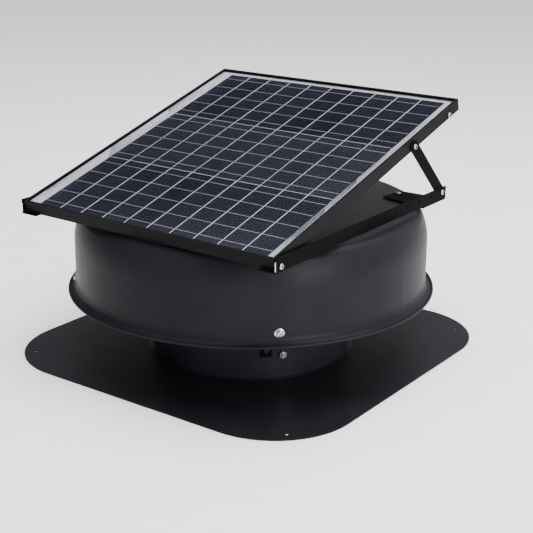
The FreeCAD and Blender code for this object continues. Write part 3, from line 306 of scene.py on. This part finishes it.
# %% Plastics and rubber
def moulded(name, low, high, roughness, grain_mm=0.7, bump_share=0.3):
    material, tree, shader, place = start(name, IOR=1.5)
    cloud = add(tree, "TexNoise", links={"Vector": place}, values={"Scale": per_metre(30.0), "Detail": 3.0})
    tree.links.new(colour_between(tree, cloud.outputs["Fac"], low, high), shader.inputs["Base Color"])
    grain = add(tree, "TexVoronoi", links={"Vector": place}, values={"Scale": per_metre(grain_mm)})
    rough = add(tree, "MapRange", links={"Value": grain.outputs["Distance"]},
                values={"To Min": roughness, "To Max": roughness + 0.08})
    tree.links.new(rough.outputs["Result"], shader.inputs["Roughness"])
    bump = add(tree, "Bump", links={"Height": grain.outputs["Distance"]},
               values={"Strength": bump_share, "Distance": 0.0001})
    tree.links.new(bump.outputs["Normal"], shader.inputs["Normal"])
    return material


black_nylon = moulded("moulded_nylon", "#141416", "#1c1c1e", 0.5)
rubber = moulded("moulded_rubber", "#0f0f10", "#161617", 0.75, grain_mm=1.2)
resin = moulded("laminate_resin", "#c9c7d2", "#d2d0da", 0.45, grain_mm=1.0, bump_share=0.05)
white_sheet = moulded("white_backsheet", "#d6d7da", "#e2e3e5", 0.6, grain_mm=1.4, bump_share=0.1)
print("plastics ready")

# %% [markdown]
# A quarter cell is a wafer of silicon under a blue-black antireflective film. Crystals and
# film thickness differ a little from cell to cell, so each wafer gets its own tone. Fingers
# of printed silver run along the slope, 1.6 mm apart: on the real wafer they are finer than
# a hair, so here they are only a faint, slightly lighter stripe.

# %% Silicon cells
cell_low, cell_high = panel_box("solar_cells")
COLUMNS = 10
ROWS = 3
cell_gap = 1.55 * MM
row_gap = 1.0 * MM
cell_wide = (cell_high.x - cell_low.x + cell_gap) / COLUMNS - cell_gap
cell_long = (cell_high.y - cell_low.y + row_gap) / ROWS - row_gap
pitch_x = cell_wide + cell_gap
pitch_y = cell_long + row_gap
print("cell %.2f x %.2f mm" % (cell_wide / MM, cell_long / MM))

silicon, tree, shader, place = start("silicon_wafer", Roughness=0.4, Specular_IOR_Level=0.0)
turned = add(tree, "Mapping", links={"Vector": place}, vector_type="TEXTURE",
             values={"Location": hinge, "Rotation": (TILT, 0, 0)})
counted = add(tree, "Mapping", links={"Vector": turned.outputs[0]},
              values={"Location": (-cell_low.x / pitch_x, -cell_low.y / pitch_y, 0.5),
                      "Scale": (1 / pitch_x, 1 / pitch_y, 0)})
whole = add(tree, "VectorMath", links={0: counted.outputs[0]}, operation="FLOOR")
chance = add(tree, "TexWhiteNoise", links={"Vector": whole.outputs[0]}, noise_dimensions="3D")
crystal = add(tree, "TexNoise", links={"Vector": turned.outputs[0]},
              values={"Scale": per_metre(22.0), "Detail": 2.0})
blend = add(tree, "Math", links={0: chance.outputs["Value"], 1: crystal.outputs["Fac"]}, operation="ADD")
tone = colour_between(tree, blend.outputs[0], "#11111a", "#1a1a27", 0.4, 1.6)
split = add(tree, "SeparateXYZ", links={"Vector": turned.outputs[0]})
FINGER_PITCH = 1.6 * MM
wave = add(tree, "Math", links={0: split.outputs["X"]}, values={1: 2 * math.pi / FINGER_PITCH},
           operation="MULTIPLY")
finger = add(tree, "Math", links={0: wave.outputs[0]}, operation="SINE")
printed = add(tree, "MapRange", links={"Value": finger.outputs[0]},
              values={"From Min": 0.6, "From Max": 1.0, "To Min": 0.0, "To Max": 0.02})
mixed = add(tree, "Mix", links={"Factor": printed.outputs["Result"], "A": tone}, data_type="RGBA")
mixed.inputs["B"].default_value = linear("#8d90a0")
tree.links.new(mixed.outputs["Result"], shader.inputs["Base Color"])

# %% [markdown]
# Solar glass is tempered and etched, with an antireflective skin, so it mirrors far less than
# window glass. Light has to reach the cells without being bent on the way, or they would come
# out black and noisy, so the pane is clear, with a mirror that grows towards the grazing view.
# The mirror's own grey stands for the antireflective skin, and a fine prismatic grain blurs it.

# %% Solar glass
glass, tree, shader, place = start("solar_glass")
tree.nodes.remove(shader)
clear = add(tree, "BsdfTransparent")
clear.inputs["Color"].default_value = linear("#fafbfb")
mirror = add(tree, "BsdfGlossy")
mirror.inputs["Color"].default_value = linear("#a0a2a8")
pebble = add(tree, "TexNoise", links={"Vector": place}, values={"Scale": per_metre(1.8), "Detail": 2.0})
rough = add(tree, "MapRange", links={"Value": pebble.outputs["Fac"]}, values={"To Min": 0.14, "To Max": 0.22})
tree.links.new(rough.outputs["Result"], mirror.inputs["Roughness"])
edge_on = add(tree, "Fresnel", values={"IOR": 1.15})
both = add(tree, "MixShader", links={"Fac": edge_on.outputs[0], 1: clear.outputs[0], 2: mirror.outputs[0]})
output = [item for item in tree.nodes if item.bl_idname == "ShaderNodeOutputMaterial"][0]
tree.links.new(both.outputs[0], output.inputs["Surface"])
print("glass ready")

# %% [markdown]
# ## Finishes on the frame's own nodes
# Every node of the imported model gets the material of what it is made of. Nodes that are
# rebuilt below are hidden then, and their new piece takes the same finish.

# %% Assign finishes
finish_of = {
    "flashing": plate_coat,
    "collar_steel": collar_coat,
    "hood_coat": hood_coat,
    "bracket_coat": rail_coat,
    "rail_coat": rail_coat,
    "prop_coat": rail_coat,
    "zinc_screws": zinc,
    "black_screws": black_zinc,
    "inserts": zinc,
    "washer_rubber": rubber,
    "spider_zinc": galvanised,
    "guard_wire": rail_coat,
    "guard_clip": black_nylon,
    "motor_paint": collar_coat,
    "motor_alloy": cast_alloy,
    "bearing_steel": bearing_steel,
    "core_steel": core_steel,
    "copper": copper,
    "magnet": ferrite,
    "switch_body": black_nylon,
    "fan_alloy": fan_sheet,
    "hub_alloy": cast_alloy,
    "corner_nylon": black_nylon,
    "solar_glass": glass,
    "encapsulant": resin,
    "silicon": silicon,
    "backsheet": white_sheet,
    "box_plastic": black_nylon,
}


def material_for(node):
    if node in ("frame_front", "frame_rear"):
        return frame_across
    if node in ("frame_left", "frame_right"):
        return frame_along
    return finish_of[slot_of[node]]


for name, item in nodes.items():
    item.data.materials.clear()
    item.data.materials.append(material_for(name))
print("finishes on", len(nodes), "nodes")

# %% [markdown]
# ## Softened edges
# Sheared, punched and coated sheet never ends in a knife edge: the coat rounds it off, and
# that is where a thin line of light runs. Each node whose edges show is copied, its loose
# triangles are merged and joined back into flat faces, and a small bevel rounds the corners.
# A bevel modifier keeps the copy's shape true and works on bars, plates and bent sheet alike.


# %% Rounded copies of sheet and bar
BEND_RADIUS = 2.4 * MM
MERGE = 0.002 * MM


def finish_piece(name, shape, body, material, replaced=()):
    """Make an object from a bmesh, put it on its body and hide the nodes that it replaces."""
    mesh = bpy.data.meshes.new(name)
    shape.to_mesh(mesh)
    shape.free()
    mesh.materials.append(material)
    item = bpy.data.objects.new(name, mesh)
    bpy.context.scene.collection.objects.link(item)
    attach(item, body)
    if replaced:
        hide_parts(*replaced)
    return item


def shade(item, angle=30):
    """Smooth shading inside curved faces, sharp where faces meet at more than the angle."""
    item.data.shade_smooth()
    item.data.set_sharp_from_angle(angle=math.radians(angle))


def bend(shape, radius):
    """Round the folds between a rail's upright and its ears: the long low edges at its outer face."""
    outer = max(abs(vertex.co.x) for vertex in shape.verts)
    low = min(vertex.co.z for vertex in shape.verts)
    near = 0.01 * MM
    folds = [
        edge for edge in shape.edges
        if all(abs(abs(end.co.x) - outer) < near and end.co.z - low < near for end in edge.verts)
    ]
    bmesh.ops.bevel(shape, geom=folds, offset=radius, segments=4, affect="EDGES", profile=0.5)
    print(len(folds), "folds rounded")


def softened(node, body, radius_mm):
    """A copy of a node with its triangles joined and its edges rounded."""
    shape = bmesh.new()
    shape.from_mesh(nodes[node].data)
    bmesh.ops.remove_doubles(shape, verts=shape.verts, dist=MERGE)
    bmesh.ops.dissolve_limit(shape, angle_limit=math.radians(0.5), verts=shape.verts, edges=shape.edges)
    if node in ("rail_left", "rail_right"):
        bend(shape, BEND_RADIUS)
    item = finish_piece(node + "_soft", shape, body, material_for(node), (node,))
    bevel = item.modifiers.new("rounded", "BEVEL")
    bevel.width = radius_mm * MM
    bevel.segments = 2
    bevel.limit_method = "ANGLE"
    bevel.angle_limit = math.radians(35)
    shade(item)
    print(item.name, len(item.data.polygons), "faces")


SOFT_EDGES = {
    "vent_body": {"base_flange": 0.5, "rail_left": 0.35, "rail_right": 0.35, "hood_brackets": 0.4,
                  "motor_spider": 0.4, "thermal_switch": 0.8, "guard_clips": 0.6},
    "panel": {"frame_front": 0.3, "frame_rear": 0.3, "frame_left": 0.3, "frame_right": 0.3,
              "junction_box": 0.8, "junction_lid": 0.6},
    "prop_left": {"prop_left": 0.35},
    "prop_right": {"prop_right": 0.35},
}
for body, parts in SOFT_EDGES.items():
    for node, radius in parts.items():
        softened(node, body, radius)

# %% [markdown]
# ## Ribbons on the cells
# Flat tinned copper ribbons are soldered across the cells, five to each row, and carry the
# current from one quarter cell to the next. They stop short of each cell's far edge, which
# leaves a small break beside every gap. Each is a thin square-edged strip, just proud
# of the wafer and under the glass.

# %% Ribbons
RIBBONS = 5
RIBBON_WIDE = 0.9 * MM
RIBBON_THICK = 0.12 * MM
RIBBON_BREAK = 1.2 * MM

tinned = bare_metal("tinned_copper", "#8b8c96", "#a3a4ad", 0.5, patch_mm=9.0)
shape = bmesh.new()
for row in range(ROWS):
    for ribbon in range(RIBBONS):
        middle_y = cell_low.y + row * pitch_y + cell_long * (ribbon + 0.5) / RIBBONS
        for column in range(COLUMNS):
            left = cell_low.x + column * pitch_x - cell_gap
            right = left + pitch_x - RIBBON_BREAK
            spot = Vector(((left + right) / 2, middle_y, cell_high.z + RIBBON_THICK / 2))
            size = Matrix.Diagonal((right - left, RIBBON_WIDE, RIBBON_THICK, 1))
            bmesh.ops.create_cube(shape, size=1, matrix=tilted @ Matrix.Translation(spot) @ size)
finish_piece("cell_ribbons", shape, "panel", tinned)
print(ROWS * RIBBONS * COLUMNS, "ribbons")

# %% [markdown]
# ## Screws
# The screws are button heads with a socket: a low dome, turned from bar. Head, socket and
# shank are half profiles spun about the screw's axis. The hood's screws also have a flange
# under the dome that seals against the skirt. The socket is round, without its flats.


# %% Button-head screws
HEAD = 4.2 * MM
HOOD_HEAD = 4.4 * MM
HEAD_HIGH = 2.6 * MM
FLANGE = 7.2 * MM
FLANGE_THICK = 1.2 * MM
SHANK = 2.0 * MM
SOCKET_SHARE = 0.46
THREAD_PITCH = 0.7 * MM


def spin_profile(shape, points, steps):
    """Spin (radius, height) points about Z into a skin."""
    chain = [shape.verts.new((radius, 0, height)) for radius, height in points]
    edges = [shape.edges.new(pair) for pair in zip(chain, chain[1:])]
    bmesh.ops.spin(shape, geom=chain + edges, cent=(0, 0, 0), axis=(0, 0, 1), angle=2 * math.pi,
                   steps=steps, use_merge=True)


def button_head(shape, radius, height, flange):
    """Dome with a round-mouthed socket; the flange is a washer-like foot under the dome."""
    mouth = radius * SOCKET_SHARE
    foot = FLANGE_THICK if flange else 0.0
    profile = [(0.0, height * 0.12), (mouth * 0.8, height * 0.2), (mouth * 0.92, height * 0.9)]
    for step in range(7):
        angle = math.radians(78 - step * 12)
        spread = mouth + (radius - mouth) * math.cos(angle)
        profile.append((spread, height * (0.25 + 0.75 * math.sin(angle))))
    if flange:
        profile += [(radius, 0.1 * height), (flange - 0.5 * MM, 0.0)]
        profile += [(flange, -0.4 * MM), (flange, -foot)]
    else:
        profile += [(radius, 0.12 * height), (radius * 0.97, 0.0)]
    profile.append((0.0, -foot))
    spin_profile(shape, [(spread, level + foot) for spread, level in profile], 36)


def tapped(shape, radius, low, high):
    """Plain shank with shallow rings for its thread."""
    pitch = THREAD_PITCH
    points = [(0.0, high)]
    turns = int((high - low) / pitch)
    for turn in range(turns):
        level = high - turn * pitch
        points.append((radius, level - pitch * 0.1))
        points.append((radius * 0.88, level - pitch * 0.5))
        points.append((radius, level - pitch * 0.9))
    points += [(radius * 0.7, low), (0.0, low)]
    spin_profile(shape, points, 20)


def screw(shape, seat, outward, radius, reach, flange=0.0):
    """A whole screw: seat is the head's underside, outward its axis, reach its shank's length."""
    before = set(shape.verts)
    button_head(shape, radius, HEAD_HIGH, flange)
    tapped(shape, SHANK, -reach, 0.0)
    fresh = [vertex for vertex in shape.verts if vertex not in before]
    turn = Vector(outward).to_track_quat("Z", "Y").to_matrix().to_4x4()
    bmesh.ops.transform(shape, matrix=Matrix.Translation(seat) @ turn, verts=fresh)


def cleaned(shape):
    """Close the poles and turn the faces outwards."""
    bmesh.ops.remove_doubles(shape, verts=shape.verts, dist=0.0001 * MM)
    bmesh.ops.recalc_face_normals(shape, faces=shape.faces)
    return shape


def side_screws(node, body, reach_mm):
    """A screw each side, with its head where the node's solids have theirs."""
    low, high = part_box(node)
    middle = (low + high) / 2
    shape = bmesh.new()
    for side in (-1, 1):
        seat = Vector((side * (high.x - HEAD_HIGH), middle.y, middle.z))
        screw(shape, seat, (side, 0, 0), HEAD, reach_mm * MM)
    item = finish_piece(node + "_turned", cleaned(shape), body, zinc, (node,))
    shade(item, 40)
    print(item.name, len(item.data.polygons), "faces")


SIDE_SCREWS = {
    "hinge_screws": ("panel", 15.1),
    "prop_pivot_screws": ("panel", 13.2),
    "stop_screws": ("panel", 11.0),
    "prop_foot_screws": ("vent_body", 1.75),
}
for node, (body, reach_mm) in SIDE_SCREWS.items():
    side_screws(node, body, reach_mm)


# %% Screws in the hood, the ears and the straps
def islands(node):
    """Corner places of each separate solid of a node, from its merged copy."""
    shape = bmesh.new()
    shape.from_mesh(nodes[node].data)
    bmesh.ops.remove_doubles(shape, verts=shape.verts, dist=MERGE)
    left = set(shape.verts)
    groups = []
    while left:
        stack = [left.pop()]
        group = list(stack)
        while stack:
            for edge in stack.pop().link_edges:
                for vertex in edge.verts:
                    if vertex in left:
                        left.remove(vertex)
                        stack.append(vertex)
                        group.append(vertex)
        groups.append([vertex.co.copy() for vertex in group])
    shape.free()
    return groups


def radial_screws(node, body, head_radius, material, flange=0.0):
    """Screws that point away from the fan's axis."""
    shape = bmesh.new()
    for spots in islands(node):
        middle = sum(spots, Vector()) / len(spots)
        outward = Vector((middle.x, middle.y, 0)).normalized()
        level = (min(spot.z for spot in spots) + max(spot.z for spot in spots)) / 2
        far = max(spot.dot(outward) for spot in spots)
        near = min(spot.dot(outward) for spot in spots)
        seat_far = far - HEAD_HIGH - (FLANGE_THICK if flange else 0.0)
        seat = outward * seat_far + Vector((0, 0, level))
        screw(shape, seat, outward, head_radius, seat_far - near, flange)
    item = finish_piece(node + "_turned", cleaned(shape), body, material, (node,))
    shade(item, 40)
    print(item.name, len(item.data.polygons), "faces")


radial_screws("hood_side_screws", "vent_body", HOOD_HEAD, zinc, FLANGE)
radial_screws("strap_screws", "vent_body", HEAD, black_zinc)


def upright_screws(node, body, material):
    """Screws that stand on the rails' ears."""
    shape = bmesh.new()
    for spots in islands(node):
        middle_x = (min(spot.x for spot in spots) + max(spot.x for spot in spots)) / 2
        middle_y = (min(spot.y for spot in spots) + max(spot.y for spot in spots)) / 2
        top = max(spot.z for spot in spots)
        bottom = min(spot.z for spot in spots)
        seat = Vector((middle_x, middle_y, top - HEAD_HIGH))
        screw(shape, seat, (0, 0, 1), HEAD, top - HEAD_HIGH - bottom)
    item = finish_piece(node + "_turned", cleaned(shape), body, material, (node,))
    shade(item, 40)


upright_screws("rail_screws", "vent_body", zinc)
print("screws ready")

# %% [markdown]
# ## Rolled rim
# The hood's lower edge is rolled outwards into a round bead, and the coat gives it a thin
# unbroken line of light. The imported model's bead has coarse facets, so a fine ring of the
# same roll, 0.05 mm proud of it, covers them.

# %% Hood rim
BEAD = 2.0 * MM
BEAD_PROUD = 0.05 * MM
BEAD_SIDES = 16
low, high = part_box("hood_shell")
ring_radius = high.x - BEAD
ring_height = low.z + BEAD
roll = []
for step in range(BEAD_SIDES + 1):
    angle = 2 * math.pi * step / BEAD_SIDES
    thick = BEAD + BEAD_PROUD
    roll.append((ring_radius + thick * math.cos(angle), ring_height + thick * math.sin(angle)))
shape = bmesh.new()
spin_profile(shape, roll, 240)
rim = finish_piece("hood_rim_bead", cleaned(shape), "vent_body", hood_coat)
shade(rim, 60)
print("rim of", len(rim.data.polygons), "faces")

# %% [markdown]
# ## Painted highlights on the rail ends
# A line of light runs down the front corner beside each hinge. It is drawn as a painted
# highlight: a thin plate of very bright metal on the front end face of each upright, beside the hinge.

# %% Painted highlight strips
GLINT_WIDE = 1.3 * MM
GLINT_THICK = 0.12 * MM
GLINT_HIGH = 12.5 * MM
GLINT_INSET = 0.9 * MM
GLINT_PROUD = 0.05 * MM
GLINT_LIFT = 1.2 * MM

# The strips' near-white metal is a painted highlight, not a finish of the rails.
painted_glint_metal = bare_metal("painted_glint_zinc", "#cfd1d5", "#eceded", 0.22, patch_mm=3.0)
shape = bmesh.new()
low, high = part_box("rail_right")
for side in (-1, 1):
    spot = Vector((side * (high.x - GLINT_INSET), low.y - GLINT_PROUD, hinge.z + GLINT_LIFT))
    size = Matrix.Diagonal((GLINT_WIDE, GLINT_THICK, GLINT_HIGH, 1))
    bmesh.ops.create_cube(shape, size=1, matrix=Matrix.Translation(spot) @ size)
finish_piece("rail_painted_glints", shape, "vent_body", painted_glint_metal)
print("two bright ends")
